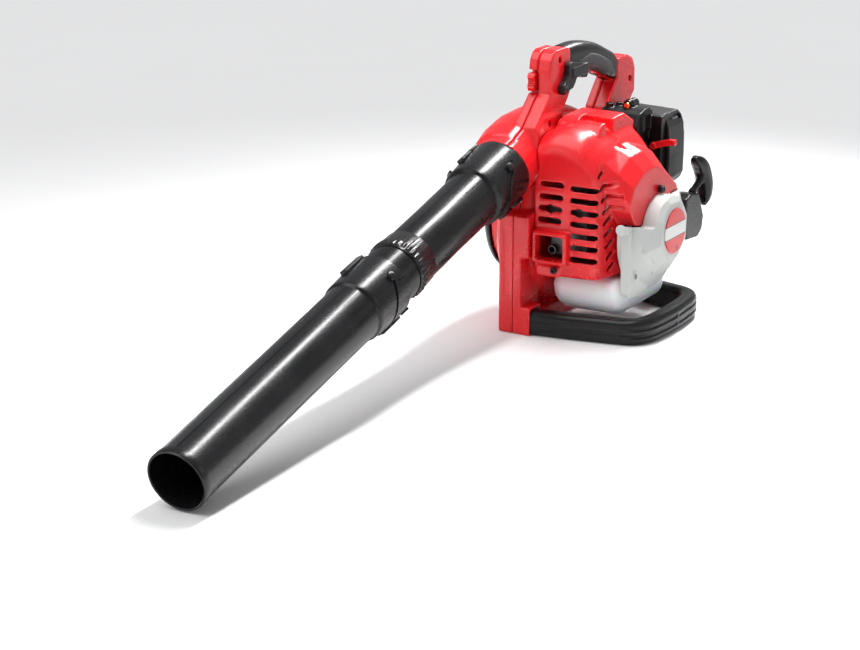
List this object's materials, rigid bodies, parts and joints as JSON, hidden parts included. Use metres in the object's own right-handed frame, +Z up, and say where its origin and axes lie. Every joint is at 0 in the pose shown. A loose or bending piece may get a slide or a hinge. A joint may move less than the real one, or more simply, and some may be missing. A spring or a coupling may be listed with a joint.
{
  "type": "leaf blower",
  "caption": "Hand-held petrol leaf blower: round fan case with a top handle, side engine with recoil starter, base loop, and a long tapering blower tube.",
  "frame": {"origin": "middle of the underside of the foot bar, on the ground straight below the crankshaft axis", "axes": "+Z up, -Y the way the air blows, +X from the fan case out through the recoil starter"},
  "size_m": [0.2495, 1.0126, 0.35],
  "materials": {
    "red_plastic": "moulded, glossy",
    "black_plastic": "moulded, satin",
    "tube_plastic": "moulded, glossy",
    "grip_rubber": "matt",
    "grey_plastic": "moulded, satin",
    "tank_plastic": "milky, lets light through",
    "steel": "machined",
    "dark_steel": "blackened",
    "cast_aluminium": "as cast",
    "brass": "turned",
    "filter_foam": "open-cell foam",
    "badge": "glossy disc with no lettering",
    "rope": "braided"
  },
  "bodies": {
    "frame": {"case_intake_half": "red_plastic", "case_engine_half": "red_plastic", "engine_cover": "red_plastic", "cylinder": "cast_aluminium", "starter_housing": "grey_plastic", "intake_guard": "black_plastic", "neck_pin": "black_plastic", "crankcase_fan_half": "cast_aluminium", "crankcase_starter_half": "cast_aluminium", "fuel_tank": "tank_plastic", "fuel_pipe": "grip_rubber", "recoil_spring": "steel", "rope_guide": "black_plastic", "badge_disc": "badge", "base_loop": "black_plastic", "air_cleaner_base": "black_plastic", "air_cleaner_cover": "black_plastic", "filter_element": "filter_foam", "throttle_cable": "grip_rubber", "trigger_pin": "dark_steel", "handle_grip": "grip_rubber", "handle_screw_upper": "dark_steel", "handle_screw_lower": "dark_steel", "handle_screw_rear": "dark_steel", "bearing_fan_side": "steel", "bearing_starter_side": "steel", "muffler": "dark_steel", "intake_insulator": "black_plastic", "carburettor": "cast_aluminium", "ignition_coil": "dark_steel", "ignition_lead": "grip_rubber", "spark_plug": "steel", "plug_boot": "grip_rubber", "cover_screw_upper": "black_plastic", "cover_screw_lower": "black_plastic"},
    "rotor": {"fan_impeller": "black_plastic", "fan_nut": "steel", "crankshaft_fan_half": "steel", "crankshaft_starter_half": "steel", "flywheel": "cast_aluminium", "flywheel_nut": "steel", "starter_cup": "steel"},
    "piston_group": {"piston": "cast_aluminium", "connecting_rod": "steel", "crank_pin": "steel", "wrist_pin": "steel"},
    "pulley": {"recoil_pulley": "black_plastic"},
    "pull_handle": {"starter_grip": "black_plastic", "starter_rope": "rope"},
    "trigger": {"throttle_trigger": "black_plastic"},
    "throttle": {"throttle_lever": "steel"},
    "switch": {"stop_switch": "red_plastic"},
    "choke": {"choke_lever": "red_plastic"},
    "cleaner_knob": {"cleaner_screw": "brass"},
    "tank_cap": {"fuel_cap": "black_plastic"},
    "primer": {"primer_bulb": "tank_plastic"},
    "middle_tube": {"middle_pipe": "tube_plastic", "locking_ring": "tube_plastic", "tube_pin": "black_plastic"},
    "end_tube": {"end_pipe": "tube_plastic"}
  },
  "joints": [
    {"name": "rotor_spin", "type": "hinge", "parent": "frame", "child": "rotor", "pos_m": [0, 0, 0.13], "axis": [1, 0, 0], "continuous": true},
    {"name": "piston_slide", "type": "slide", "parent": "frame", "child": "piston_group", "axis": [0, 0, -1], "range_m": [0, 0.028]},
    {"name": "starter_pull", "type": "slide", "parent": "frame", "child": "pull_handle", "axis": [0, 0.9063, 0.4226], "range_m": [0, 0.5], "stiffness_N_per_m": 20, "springref_m": -0.3},
    {"name": "pulley_spin", "type": "hinge", "parent": "frame", "child": "pulley", "pos_m": [0.13, 0, 0.13], "axis": [1, 0, 0], "range_deg": [0, 800]},
    {"name": "trigger_pull", "type": "hinge", "parent": "frame", "child": "trigger", "pos_m": [0.0195, -0.031, 0.2995], "axis": [1, 0, 0], "range_deg": [0, 9], "stiffness_Nm_per_rad": 0.4, "springref_deg": -5.73},
    {"name": "throttle_turn", "type": "hinge", "parent": "frame", "child": "throttle", "pos_m": [0.037, 0.069, 0.186], "axis": [1, 0, 0], "range_deg": [0, 55]},
    {"name": "stop_switch_rock", "type": "hinge", "parent": "frame", "child": "switch", "pos_m": [-0.00925, -0.053, 0.3105], "axis": [1, 0, 0], "range_deg": [0, 8]},
    {"name": "choke_turn", "type": "hinge", "parent": "frame", "child": "choke", "pos_m": [0.092, 0.083, 0.212], "axis": [0, 1, 0], "range_deg": [0, 40]},
    {"name": "cleaner_screw_turn", "type": "hinge", "parent": "frame", "child": "cleaner_knob", "pos_m": [0.057, 0.08, 0.262], "axis": [0, 1, 0], "range_deg": [0, 360]},
    {"name": "fuel_cap_turn", "type": "hinge", "parent": "frame", "child": "tank_cap", "pos_m": [0.084, 0.0625, 0.054], "axis": [0, 1, 0], "range_deg": [0, 360]},
    {"name": "primer_press", "type": "slide", "parent": "frame", "child": "primer", "axis": [0, -1, 0], "range_m": [0, 0.005], "stiffness_N_per_m": 300},
    {"name": "tube_twist", "type": "hinge", "parent": "frame", "child": "middle_tube", "pos_m": [-0.0073, -0.8239, 0.0368], "axis": [-0.0144, 0.9706, 0.2402], "range_deg": [0, 25]},
    {"name": "end_twist", "type": "hinge", "parent": "middle_tube", "child": "end_tube", "pos_m": [-0.0073, -0.8239, 0.0368], "axis": [-0.0144, 0.9706, 0.2402], "range_deg": [0, 25]}
  ],
  "couplings": [
    {"joint": "pulley_spin", "follows": "starter_pull", "rad_per_m": 27.778},
    {"joint": "throttle_turn", "follows": "trigger_pull", "ratio": 6}
  ]
}
